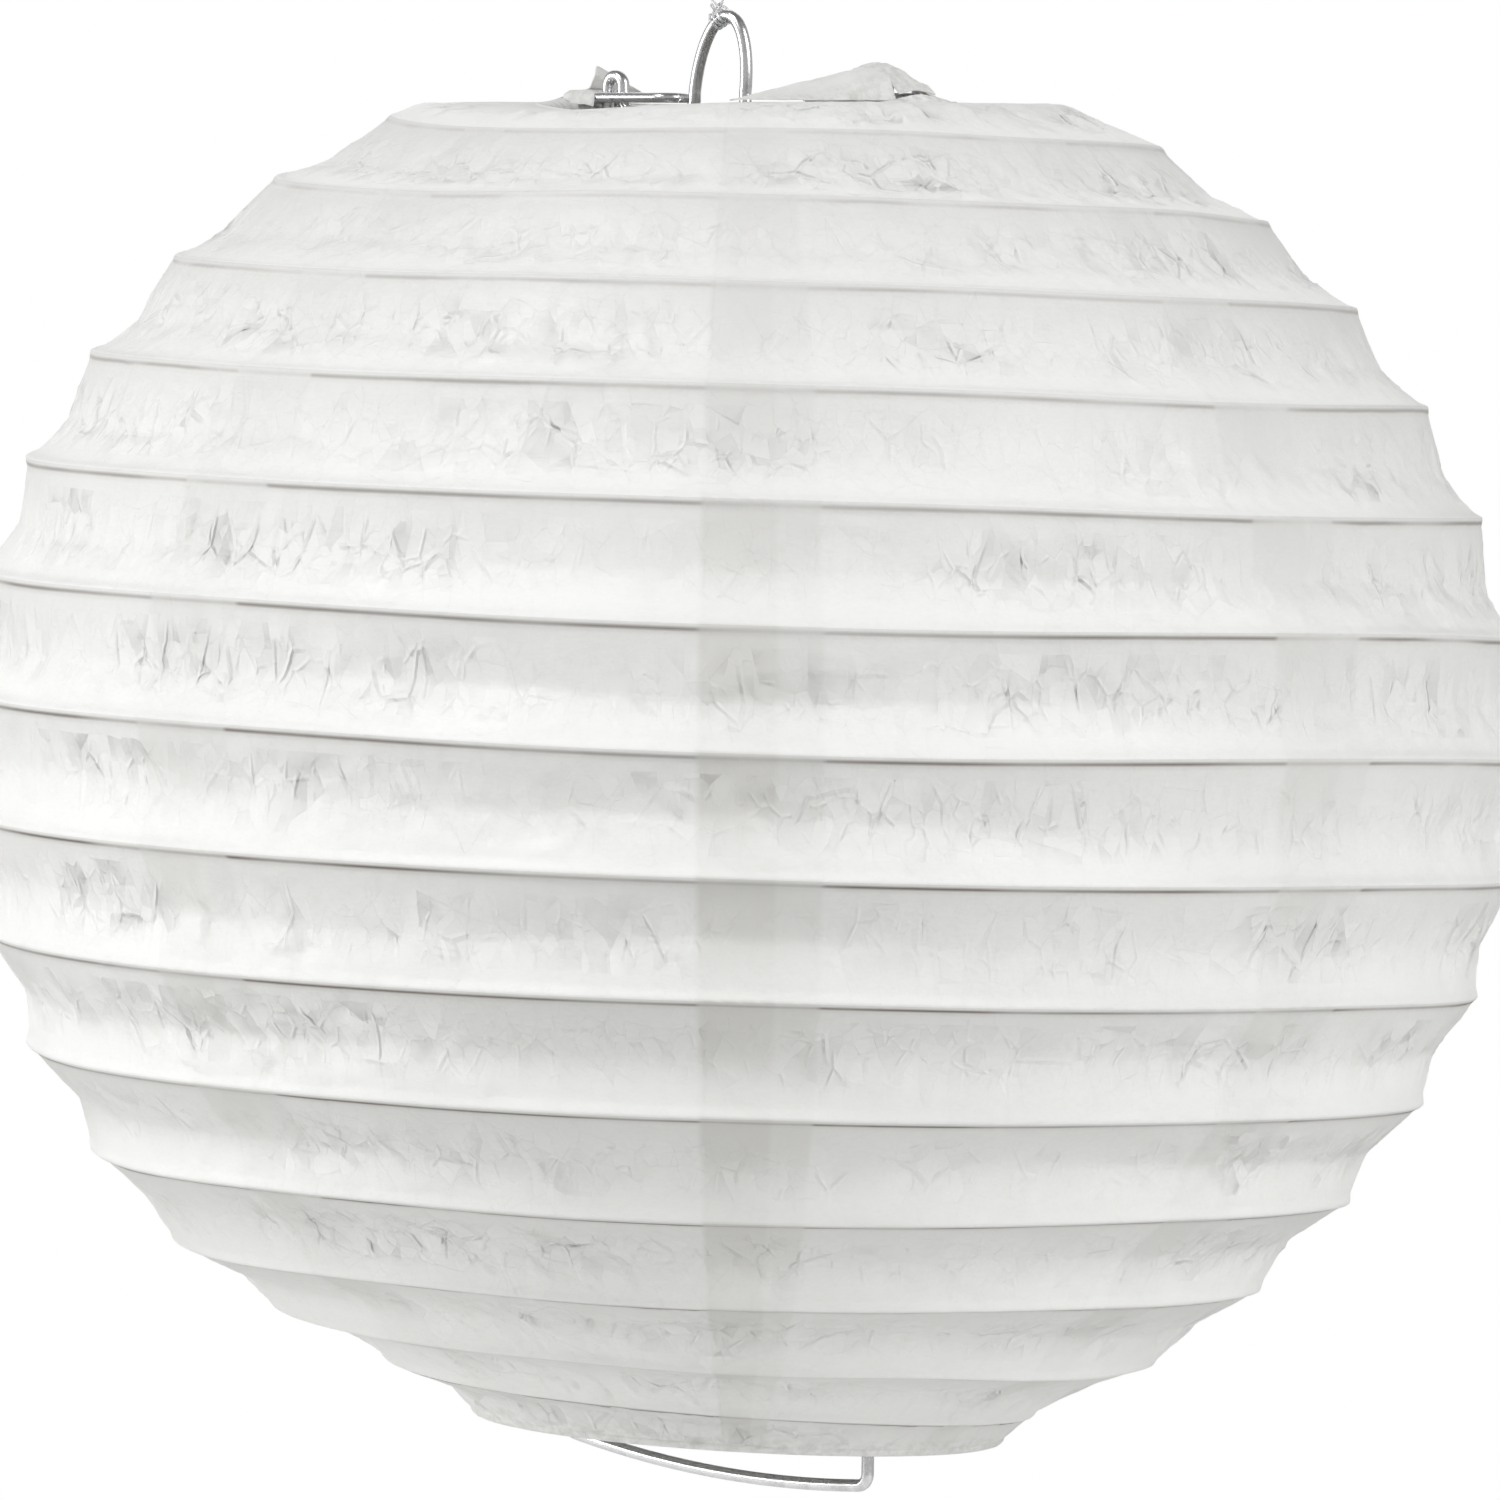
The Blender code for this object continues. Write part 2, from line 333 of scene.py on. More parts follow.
# ---------------------------------------------------------------- mesh helpers

def new_object(name, data):
    obj = bpy.data.objects.new(name, data)
    bpy.context.scene.collection.objects.link(obj)
    return obj


def grid_mesh(name, points, keep=None):
    """A sheet from an array of points, rows by columns. keep says which faces stay."""
    rows, columns = points.shape[:2]
    index = np.arange(rows * columns).reshape(rows, columns)
    faces = np.stack([index[:-1, :-1], index[:-1, 1:], index[1:, 1:], index[1:, :-1]], -1)
    faces = faces.reshape(-1, 4) if keep is None else faces[keep]
    used = np.unique(faces)
    order = np.full(rows * columns, -1)
    order[used] = np.arange(len(used))
    mesh = bpy.data.meshes.new(name)
    mesh.from_pydata(points.reshape(-1, 3)[used], [], order[faces])
    mesh.shade_smooth()
    sharpen_border(mesh)
    return mesh, used


def sharpen_border(mesh):
    """Marks the sheet's border sharp, so that the cut edge doesn't round off the shading beside it."""
    edges = np.empty(len(mesh.loops), np.int32)
    mesh.loops.foreach_get("edge_index", edges)
    border = np.bincount(edges, minlength=len(mesh.edges)) == 1
    layer = mesh.attributes.new("sharp_edge", "BOOLEAN", "EDGE")
    layer.data.foreach_set("value", border)


def paint(mesh, name, values):
    layer = mesh.attributes.new(name, "FLOAT", "POINT")
    layer.data.foreach_set("value", np.ascontiguousarray(values, np.float32))


def thicken(sheet, offset):
    """Gives a sheet the paper's thickness. offset is -1 for inwards and 0 for both ways."""
    shell = sheet.modifiers.new("thickness", "SOLIDIFY")
    shell.thickness = PAPER
    shell.offset = offset


def tube(name, path, radius, look, sides, closed=False):
    """A round wire along a smooth path, as a mesh with closed ends, or a closed ring."""
    path = np.asarray(path, float)
    count = len(path)
    if closed:
        along = np.roll(path, -1, 0) - np.roll(path, 1, 0)
    else:
        along = np.gradient(path, axis=0)
    along /= np.linalg.norm(along, axis=1)[:, None]
    normal = np.cross(along[0], [0.3, 1.0, 0.2])
    normal /= np.linalg.norm(normal)
    frames = []
    for tangent in along:
        normal = normal - tangent * (normal @ tangent)
        normal = normal / np.linalg.norm(normal)
        frames.append((normal, np.cross(tangent, normal)))
    turn = math.tau * np.arange(sides) / sides
    rings = np.array(
        [
            p + radius * (np.cos(turn)[:, None] * a + np.sin(turn)[:, None] * b)
            for p, (a, b) in zip(path, frames)
        ]
    )
    if closed:
        # The last ring is turned to meet the first, whatever twist the frames have built up.
        shift = int(np.argmin(np.linalg.norm(rings[-1] - rings[0][0], axis=1)))
        blend = np.linspace(0, 1, count)[:, None, None]
        angle = math.tau * shift / sides
        twist = turn[None, :, None] + angle * blend
        first = np.array([f[0] for f in frames])[:, None, :]
        second = np.array([f[1] for f in frames])[:, None, :]
        rings = path[:, None, :] + radius * (np.cos(twist) * first + np.sin(twist) * second)
    points = rings.reshape(-1, 3)
    index = np.arange(count * sides).reshape(count, sides)
    index = np.concatenate([index, index[:, :1]], 1)
    if closed:
        index = np.concatenate([index, index[:1]], 0)
    faces = np.stack([index[:-1, :-1], index[:-1, 1:], index[1:, 1:], index[1:, :-1]], -1)
    faces = [tuple(f) for f in faces.reshape(-1, 4)]
    if not closed:
        faces.append(tuple(range(sides - 1, -1, -1)))
        faces.append(tuple(range((count - 1) * sides, count * sides)))
    mesh = bpy.data.meshes.new(name)
    mesh.from_pydata(points, [], faces)
    mesh.shade_smooth()
    mesh.materials.append(look)
    return new_object(name, mesh)


def smooth_path(points, per_step):
    """Catmull-Rom through points."""
    p = np.asarray(points, float)
    p = np.concatenate([2 * p[:1] - p[1:2], p, 2 * p[-1:] - p[-2:-1]])
    found = []
    for i in range(1, len(p) - 2):
        for t in np.arange(per_step) / per_step:
            a, b, c, d = p[i - 1], p[i], p[i + 1], p[i + 2]
            found.append(
                0.5
                * (
                    2 * b
                    + (c - a) * t
                    + (2 * a - 5 * b + 4 * c - d) * t * t
                    + (3 * b - a - 3 * c + d) * t * t * t
                )
            )
    found.append(p[-2])
    return np.array(found)


# ---------------------------------------------------------------- materials

class Nodes:
    """Short names for building a material's nodes."""

    def __init__(self, name):
        self.material = bpy.data.materials.new(name)
        self.material.use_nodes = True
        self.tree = self.material.node_tree
        self.shader = self.tree.nodes["Principled BSDF"]
        self.output = self.tree.nodes["Material Output"]

    def add(self, kind, inputs=None, **settings):
        node = self.tree.nodes.new(kind)
        for key, value in settings.items():
            setattr(node, key, value)
        for key, value in (inputs or {}).items():
            self.put(node.inputs[key], value)
        return node

    def put(self, socket, value):
        if isinstance(value, bpy.types.NodeSocket):
            self.tree.links.new(value, socket)
        else:
            socket.default_value = value

    def maths(self, operation, a, b=0.5, clamp=False):
        node = self.add("ShaderNodeMath", {0: a, 1: b}, operation=operation, use_clamp=clamp)
        return node.outputs[0]

    def mix(self, factor, a, b, blend="MIX"):
        node = self.add("ShaderNodeMix", data_type="RGBA", blend_type=blend)
        self.put(node.inputs[0], factor)
        self.put(node.inputs[6], a)
        self.put(node.inputs[7], b)
        return node.outputs[2]

    def noise(self, scale, detail=4, vector=None, roughness=0.55):
        inputs = {"Scale": scale, "Detail": detail, "Roughness": roughness}
        if vector is not None:
            inputs["Vector"] = vector
        return self.add("ShaderNodeTexNoise", inputs).outputs["Fac"]

    def ramp(self, value, low, high, to_low=0.0, to_high=1.0):
        node = self.add(
            "ShaderNodeMapRange",
            {"Value": value, 1: low, 2: high, 3: to_low, 4: to_high},
        )
        return node.outputs[0]

    def stripe(self, value, middle, half_width):
        """One where value is middle, falling to nought at half_width to either side."""
        off = self.maths("DIVIDE", self.maths("SUBTRACT", value, middle), half_width)
        return self.maths("SUBTRACT", 1.0, self.maths("ABSOLUTE", off), clamp=True)

    def attribute(self, name):
        return self.add("ShaderNodeAttribute", attribute_name=name).outputs["Fac"]

    def position(self, scale=(1, 1, 1)):
        where = self.add("ShaderNodeTexCoord").outputs["Object"]
        return self.add("ShaderNodeMapping", {"Vector": where, "Scale": scale}).outputs[0]

    def facet(self, scale, stretch):
        """Height of small flat facets that each tilt their own way."""
        where = self.position(stretch)
        cell = self.add("ShaderNodeTexVoronoi", {"Vector": where, "Scale": scale})
        offset = self.add(
            "ShaderNodeVectorMath", {0: where, 1: cell.outputs["Position"]}, operation="SUBTRACT"
        )
        tilt = self.add(
            "ShaderNodeVectorMath",
            {0: cell.outputs["Color"], 1: (0.5, 0.5, 0.5)},
            operation="SUBTRACT",
        )
        height = self.add(
            "ShaderNodeVectorMath", {0: offset.outputs[0], 1: tilt.outputs[0]}, operation="DOT_PRODUCT"
        )
        return height.outputs["Value"]

    def fold_lines(self, scale, stretch, width, gaps):
        """Thin straight ridges along the edges of irregular cells, each shown only in part.

        gaps is the scale of those parts.
        """
        where = self.position(stretch)
        edge = self.add(
            "ShaderNodeTexVoronoi", {"Vector": where, "Scale": scale}, feature="DISTANCE_TO_EDGE"
        ).outputs["Distance"]
        ridge = self.ramp(edge, 0.0, width, 1.0, 0.0)
        return self.maths("MULTIPLY", ridge, self.ramp(self.noise(gaps, 2, where), 0.47, 0.56))

    def bump(self, height, distance, strength=1.0, normal=None):
        inputs = {"Height": height, "Distance": distance, "Strength": strength}
        if normal is not None:
            inputs["Normal"] = normal
        return self.add("ShaderNodeBump", inputs).outputs[0]


def paper_material():
    """Thin white tissue: cloudy, fibrous, letting light through, with painted shade where two layers lap,
    fading down each band from under a turn of the rib, and in a thin line just under the rib.
    """
    n = Nodes("paper")
    where = n.position()
    cloud = n.ramp(n.noise(95, 5, where), 0.3, 0.7)
    fibre = n.noise(900, 3, n.position((1, 1, 3.2)), 0.7)
    fleck = n.ramp(n.noise(2600, 2, where), 0.26, 0.42)
    white = n.mix(cloud, (0.925, 0.923, 0.908, 1), (0.948, 0.948, 0.938, 1))
    white = n.mix(n.ramp(fibre, 0.35, 0.65), white, (0.960, 0.960, 0.950, 1))
    specks = n.maths("MULTIPLY", n.maths("SUBTRACT", 1.0, fleck), 0.12)
    white = n.mix(specks, white, (0.78, 0.77, 0.74, 1))
    mottle = n.ramp(n.noise(820, 4, where, 0.65), 0.42, 0.62)
    white = n.mix(n.maths("MULTIPLY", mottle, n.attribute("glue")), white, (0.74, 0.735, 0.715, 1))
    # Painted shade where two layers of paper lap, standing in for the light that two layers hold back
    lapped = n.mix(n.attribute("lap"), white, (0.845, 0.84, 0.82, 1))
    # The distance below the nearest turn of the rib, in turns
    turned = n.maths("ARCTAN2", n.attribute("rib_sin"), n.attribute("rib_cos"))
    below = n.maths("DIVIDE", turned, math.tau)
    # Painted shadow just under each turn of the rib: a thin dark stripe with a faint soft one round it
    thin = n.stripe(below, 0.036, 0.021)
    soft = n.stripe(below, 0.050, 0.045)
    rib_shadow_line = n.maths("ADD", thin, n.maths("MULTIPLY", soft, 0.14), clamp=True)
    # The shade under each turn, fading down the band
    down_band = n.maths("FRACT", n.maths("ADD", below, 1.0))
    shaded = n.ramp(down_band, 0.02, 0.80, 0.185, 0.0)
    lapped = n.mix(shaded, lapped, (0.30, 0.295, 0.28, 1))
    # The painted shadow line darkens the paper just under the rib
    rib_shadowed = n.mix(n.maths("MULTIPLY", rib_shadow_line, n.attribute("rib_shadow_line")), lapped, (0.20, 0.165, 0.135, 1))
    # Crinkles in the middle of each band: small facets that each tilt their own way, and sharp fold lines
    patchy = n.ramp(n.noise(48, 3, where), 0.38, 0.60, 0.12, 1.0)
    middle_band = n.ramp(n.attribute("rib_cos"), 0.5, -0.7, 0.12, 1.0)
    crinkled = n.maths("MULTIPLY", patchy, middle_band)
    folds = n.maths("MULTIPLY", n.fold_lines(150.0, (1, 1, 0.62), 0.050, 210), crinkled)
    fine_folds = n.maths("MULTIPLY", n.fold_lines(265.0, (1, 1, 0.7), 0.075, 330), crinkled)
    large = n.maths("MULTIPLY", n.facet(190.0, (1, 1, 0.5)), crinkled)
    small = n.maths("MULTIPLY", n.facet(430.0, (1, 1, 0.42)), crinkled)
    bump = n.bump(fibre, 0.00005, 0.6)
    bump = n.bump(n.noise(330, 4, where, 0.6), 0.00022, 0.5, bump)
    bump = n.bump(large, 0.55, 1.0, bump)
    bump = n.bump(small, 0.50, 1.0, bump)
    bump = n.bump(folds, 0.00023, 1.0, bump)
    bump = n.bump(fine_folds, 0.00013, 1.0, bump)
    n.put(n.shader.inputs["Base Color"], rib_shadowed)
    n.put(n.shader.inputs["Roughness"], n.ramp(cloud, 0, 1, 0.42, 0.56))
    n.shader.inputs["Specular IOR Level"].default_value = 0.42
    n.put(n.shader.inputs["Normal"], bump)
    through = n.add("ShaderNodeBsdfTranslucent", {"Color": rib_shadowed, "Normal": bump})
    mixed = n.add("ShaderNodeMixShader", {0: 0.32, 1: n.shader.outputs[0], 2: through.outputs[0]})
    n.put(n.output.inputs["Surface"], mixed.outputs[0])
    return n.material


def wire_material(name, colour, roughness, dull):
    """Drawn steel wire: fine streaks, and small dull patches where the plating is worn."""
    n = Nodes(name)
    where = n.position()
    streak = n.noise(2600, 3, where, 0.6)
    patch = n.ramp(n.noise(240, 4, where), 0.52, 0.72)
    n.put(n.shader.inputs["Base Color"], n.mix(patch, (*colour, 1), (*dull, 1)))
    rough = n.ramp(streak, 0.25, 0.75, roughness * 0.75, roughness * 1.3)
    n.put(n.shader.inputs["Roughness"], n.maths("ADD", rough, n.maths("MULTIPLY", patch, 0.12)))
    n.put(n.shader.inputs["Normal"], n.bump(streak, 0.00002, 0.35))
    n.shader.inputs["Metallic"].default_value = 1.0
    return n.material


def thread_material():
    n = Nodes("clear_nylon")
    tint = n.noise(900, 2, n.position())
    n.put(n.shader.inputs["Base Color"], n.mix(tint, (0.86, 0.87, 0.88, 1), (0.97, 0.97, 0.98, 1)))
    n.shader.inputs["Roughness"].default_value = 0.18
    n.shader.inputs["Transmission Weight"].default_value = 0.55
    n.shader.inputs["IOR"].default_value = 1.5
    return n.material


def floor_material():
    n = Nodes("floor")
    tone = n.ramp(n.noise(3, 3, n.position()), 0.3, 0.7)
    n.put(n.shader.inputs["Base Color"], n.mix(tone, (0.86, 0.86, 0.85, 1), (0.89, 0.89, 0.88, 1)))
    n.shader.inputs["Roughness"].default_value = 0.7
    return n.material


# ---------------------------------------------------------------- paper pieces

ROWS_PER_BAND = 27
LID_ROWS = 22
FOOT_ROWS = 24
ROLL_ROWS = 9  # round each ring's wire
FLAP_ROWS = 34
GORE_COLUMNS = 96
LAP_COLUMNS = 16
SLIT_HALF_WIDTH = 3.3  # of the slit that an ear swings through, in millimetres
SLIT_INNER, SLIT_OUTER = 1.0, 2.6  # its two sides, in millimetres outside the ring


def band_phases():
    """Places of the rows across a band, closer together beside the ribs."""
    share = np.arange(ROWS_PER_BAND) / ROWS_PER_BAND
    return share - 0.5 * np.sin(math.tau * share) / math.tau


def gore_rows(first):
    """The turns of a gore's rows, from one ring to the other, at an angle of that rib phase."""
    bands = np.concatenate([first + k + band_phases() for k in range(TURNS - 1)])
    lid = -0.5 + (first + 0.5) * np.arange(LID_ROWS) / LID_ROWS
    last = first + TURNS - 1
    foot = last + (TURNS + 0.5 - last) * np.arange(FOOT_ROWS) / (FOOT_ROWS - 1)
    return np.concatenate([lid, bands, foot])


def roll_round(centre, ring_radius, angles, start, end, layer):
    """Rows of paper turned round a ring's wire, from start to end, in degrees round the wire."""
    reach = RING_WIRE / 2 + PAPER + ROLL_GAP - layer * ROLL_LAYER_GAP
    turn = np.linspace(math.radians(start), math.radians(end), ROLL_ROWS)[:, None]
    radius = ring_radius + reach * np.cos(turn) + 0 * angles
    height = centre.z - GLOBE_MIDDLE + reach * np.sin(turn) + 0 * angles
    return place(radius, height, np.broadcast_to(angles, radius.shape))


def paper_piece(name, points, turns, angles, glue, look, keep=None):
    """A piece of a gore with the values that its material reads."""
    mesh, used = grid_mesh(name, points, keep=keep)
    piece = new_object(name, mesh)
    grid = np.broadcast_to(angles, turns.shape)
    # The lap's painted shade and the painted shadow line under the rib
    paint(mesh, "lap", painted_lap_shade(grid, turns).ravel()[used])
    paint(mesh, "glue", glue.ravel()[used])
    paint(mesh, "rib_shadow_line", rib_shadow_strength(grid, turns).ravel()[used])
    phase = math.tau * (turns - rib_phase(grid))
    paint(mesh, "rib_cos", np.cos(phase).ravel()[used])
    paint(mesh, "rib_sin", np.sin(phase).ravel()[used])
    mesh.materials.append(look)
    thicken(piece, -1)
    return piece


def build_gore(number, look):
    """A gore, and its hem, which is rolled round the lower ring's wire."""
    pitch = math.tau / GORES
    lap = LAP / GLOBE_RADIUS
    start = SEAM_ANGLE + number * pitch - lap / 2
    main = start + pitch * np.arange(GORE_COLUMNS + 1) / GORE_COLUMNS
    under = start + pitch + lap * np.arange(1, LAP_COLUMNS + 1) / LAP_COLUMNS
    angles = np.concatenate([main, under])
    first = rib_phase(start + pitch / 2) + (angles - start - pitch / 2) / math.tau
    turns = np.stack([gore_rows(f) for f in first], 1)
    layer = np.clip((angles - start - pitch) / (lap / LAP_COLUMNS), 0, 1)
    layer = layer + 0.16 * bell((angles - start) * 100, 0.9)
    grid = np.broadcast_to(angles, turns.shape)
    body = skin(grid, turns, layer)
    top = roll_round(TOP_RING, TOP_RING_RADIUS, angles, 250, 95, layer)
    low = roll_round(BOTTOM_RING, BOTTOM_RING_RADIUS, angles, -8, -150, layer)
    points = np.concatenate([top, body, low])
    rolled = np.ones((ROLL_ROWS, len(angles)))
    turns = np.concatenate([-0.5 * rolled, turns, (TURNS + 0.5) * rolled])
    points[..., 2] += ear_lump(points)
    glue = glued(points, turns)
    points = settle(points, turns)
    join = len(points) - ROLL_ROWS
    upper, lower = slice(None, join), slice(join - 1, None)
    keep = ear_slits(points[upper])
    gore = paper_piece(f"gore_{number + 1}", points[upper], turns[upper], angles, glue[upper], look, keep)
    hem = paper_piece(f"hem_{number + 1}", points[lower], turns[lower], angles, glue[lower], look)
    return gore, hem


def ear_slits(points):
    """The faces to keep: all but a small slit outside the ring at each ear."""
    centre = (points[:-1, :-1] + points[1:, 1:]) / 2
    across = np.abs(centre[..., 0] - AXIS_X)
    slit = (np.abs(centre[..., 1]) < SLIT_HALF_WIDTH * MM) & (across > TOP_RING_RADIUS + SLIT_INNER * MM)
    slit &= (across < TOP_RING_RADIUS + SLIT_OUTER * MM) & (centre[..., 2] > TOP_RING.z - 1 * MM)
    return ~slit


def glued(points, turn):
    """One where the paper is mottled with glue, round the rings and over the ears' roots."""
    x, y = points[..., 0] - AXIS_X, points[..., 1]
    radius = np.hypot(x, y) / MM
    by_ear = bell(y / MM, 8) * smooth_step((34 - radius) / 3) * (points[..., 2] > TOP_RING.z - 4 * MM)
    rim = smooth_step(1 - (turn + 0.5) / 0.25) + smooth_step((turn - TURNS - 0.15) / 0.3)
    return np.clip(by_ear + 0.6 * rim, 0, 1)


def painted_lap_shade(angle, turn):
    """Painted shade, up to one, where two layers of paper lap: stronger in the upper part of each band, set
    for each seam, and fading towards the top.
    """
    inside = seam_distance(angle) < 0.1
    phase = (turn - rib_phase(angle)) % 1
    upper = 0.30 + 0.70 / (1 + np.exp((phase - 0.58) * 16))
    pitch = math.tau / GORES
    seam = np.round((angle - SEAM_ANGLE) / pitch).astype(int) % GORES
    shown = np.array(SEAM_LAP_SHADE)[seam]
    across = (angle - SEAM_ANGLE + pitch / 2) % pitch - pitch / 2
    # The lap's left share gets the full painted shade, the rest about half
    lap_shade_share = np.where(across * GLOBE_RADIUS / LAP < LAP_STRONG_SHADE - 0.5, 1.0, 0.52)
    return inside * upper * shown * lap_shade_share * np.clip(0.25 + 0.75 * (turn - 2) / 5, 0.25, 1)


def rib_shadow_strength(angle, turn):
    """How dark the painted shadow line just under the rib is: stronger low down, and broken here and there.
    """
    strength = np.clip(0.22 + 0.72 * (turn - 1.5) / 6, 0.22, 0.94)
    broken = np.clip(0.80 + 0.55 * around_noise(angle, turn * BAND, 14, 30, 41), 0.15, 1)
    ribbed = (turn > rib_phase(angle) - 0.5) & (turn < rib_phase(angle) + TURNS - 0.5)
    under_top_sheet = np.where(seam_distance(angle) < 0.1, 0.35, 1.0)
    return ribbed * strength * broken * under_top_sheet


def polar(radius, angle, height):
    """A point in millimetres from the globe's middle, as the frame's metres."""
    x, y = radius * math.cos(angle), radius * math.sin(angle)
    return np.array([AXIS_X + x * MM, y * MM, GLOBE_MIDDLE + height * MM])


def between(start, end, share):
    return start * (1 - share) + end * share


def build_flap(name, columns, look, wrinkle=0.16, soaked=False):
    """A sheet through columns of points, each from the rim up.

    wrinkle is how far it is rumpled, in millimetres. soaked paper is mottled with glue all over.
    """
    columns = np.array(columns, float)
    stations = np.linspace(0, 1, columns.shape[1])
    rows = []
    for share in np.linspace(0, 1, FLAP_ROWS):
        k = min(int(share * (len(stations) - 1)), len(stations) - 2)
        local = share * (len(stations) - 1) - k
        rows.append(between(columns[:, k], columns[:, k + 1], local))
    points = np.array(rows)
    x, y, z = (points[..., i] / MM for i in range(3))
    rumple = noise(x / 1.9, y / 1.9, z / 2.6, 51) + 0.5 * noise(x / 0.8, y / 0.8, z / 1.1, 52)
    fade = np.sin(math.pi * np.linspace(0.04, 1, FLAP_ROWS))[:, None] ** 0.5
    outward = points[..., :2] - np.array([AXIS_X, 0])
    outward /= np.linalg.norm(outward, axis=-1)[..., None]
    points[..., :2] += outward * (rumple * fade * wrinkle * MM)[..., None]
    points[..., 2] += 0.5 * np.roll(rumple, 2, 1) * fade * wrinkle * MM
    mesh, used = grid_mesh(name, points)
    flap = new_object(name, mesh)
    up = np.broadcast_to(np.linspace(0, 1, FLAP_ROWS)[:, None], points.shape[:2]).ravel()[used]
    paint(mesh, "glue", np.full(len(used), 0.8) if soaked else np.clip(1.1 - up * 2.6, 0, 1))
    # The flaps get a quarter of the lap's painted shade, no painted shadow line, and through rib_cos and
    # rib_sin the painted band shade and crinkles of one fixed place in a band
    for attribute, value in (("lap", 0.25), ("rib_shadow_line", 0.0), ("rib_cos", 0.4), ("rib_sin", 0.9)):
        paint(mesh, attribute, np.full(len(used), value))
    mesh.materials.append(look)
    thicken(flap, 0)
    return flap


# In millimetres, as distances from the globe's axis or heights above its middle
RIM_OUT = 27.9  # where a tent's foot meets the lid
LID = 82.75
EAR_CLEAR = 3.6  # half the width that an ear needs to swing


def right_tent(look):
    """The tent of paper drawn up from the rim to the hook's top, short of the ear's way."""
    start, apex = math.radians(-53), np.array([23.4, -0.9, 87.7])
    foot = np.array([RIM_OUT * math.cos(start), RIM_OUT * math.sin(start), LID])
    columns = []
    for share in np.linspace(0.015, (EAR_CLEAR + foot[1]) / (foot[1] - apex[1]), 46):
        top = between(foot, apex, share)
        angle = between(start, math.asin(-EAR_CLEAR / 28.2), share / 0.865)
        base = polar(RIM_OUT + 1.0 * bell(math.degrees(angle), 14), angle, LID + 0.15)
        crest = polar(math.hypot(top[0], top[1]), math.atan2(top[1], top[0]), top[2])
        back = polar(math.hypot(top[0], top[1]) - 1.1, math.atan2(top[1], top[0]), between(LID, top[2], 0.45))
        swell = smooth_step((share - 0.45) / 0.42)
        low, high = between(base, crest, 0.36), between(base, crest, 0.72)
        out = np.array([math.cos(angle), math.sin(angle), 1.3]) * MM * swell
        columns.append([base, low + 1.05 * out, high + 0.75 * out, crest, back])
    return build_flap("top_tent_right", columns, look)


def right_tail(look):
    """The tent's short side, from the ear down to the rim."""
    columns = []
    for share in np.linspace(0, 1, 26):
        angle = math.radians(between(8.2, 25, share))
        rise = 2.3 * (1 - share) ** 2.1
        base = polar(RIM_OUT + 1.0 * (1 - share), angle, LID + 0.1)
        crest = polar(between(25.6, 27.4, share), angle, LID + 0.12 + rise)
        back = polar(between(24.9, 27.0, share), angle, LID - 0.1 + 0.4 * rise)
        columns.append([base, between(base, crest, 0.5), crest, back])
    return build_flap("top_tail_right", columns, look)


def right_sleeve(look):
    """Paper glued round the right ear and over the hook."""
    columns = []
    for y in np.linspace(-3.42, 3.42, 30):
        top = np.interp(
            y, [-3.5, -2.0, -0.9, 0.7, 1.7, 2.6, 3.5], [86.95, 87.4, 87.7, 87.6, 87.1, 86.2, 85.0]
        )
        edge = LID + 0.18 + EAR_LUMP * bell(y, EAR_LUMP_WIDTH)
        profile = [(28.95, edge), (27.6, 85.0), (25.3, top - 0.65), (23.2, top)]
        profile += [(21.2, top - 0.1), (20.2, top - 1.0), (20.0, 84.7)]
        columns.append([polar(math.hypot(r, y), math.atan2(y, r), h) for r, h in profile])
    return build_flap("ear_sleeve_right", columns, look, wrinkle=0.22, soaked=True)


def left_tent(look):
    """The smaller tent behind the left hook."""
    apex = np.array([-25.6, 0.0, 87.3])
    end = math.radians(156)
    foot = np.array([RIM_OUT * math.cos(end), RIM_OUT * math.sin(end), LID])
    columns = []
    for share in np.linspace(EAR_CLEAR / foot[1], 0.985, 30):
        top = between(apex, foot, share)
        angle = math.atan2(top[1], top[0])
        base = polar(RIM_OUT + 0.5, angle, LID + 0.15)
        crest = polar(math.hypot(top[0], top[1]), angle, top[2])
        columns.append([base, between(base, crest, 0.5), crest])
    return build_flap("top_tent_left", columns, look)


def left_root(look):
    """Paper glued over the root of the left ear."""
    columns = []
    for y in np.linspace(-3.75, 3.75, 34):
        fall = 1.75 * smooth_step((abs(y) - 3.05) / 0.65)
        inner = 23.7 + 0.5 * math.sin(2.1 * y)
        profile = [(28.9, 83.7), (27.9, 84.2), (26.2, 84.25), (24.6, 84.1), (inner, 83.85)]
        columns.append([polar(math.hypot(r, y), math.atan2(y, -r), h - fall) for r, h in profile])
    return build_flap("ear_root_left", columns, look, wrinkle=0.20, soaked=True)


def left_sleeve(look):
    """The paper's edge glued up behind the left ear."""
    columns = []
    for y in np.linspace(-0.4, 3.42, 18):
        top = 87.35 - 0.36 * max(y, 0)
        profile = [(28.3, 84.05), (26.9, 84.6), (26.0, top - 1.2), (25.75, top)]
        columns.append([polar(math.hypot(r, y), math.atan2(y, -r), h) for r, h in profile])
    return build_flap("ear_sleeve_left", columns, look, wrinkle=0.10)


# ---------------------------------------------------------------- wires

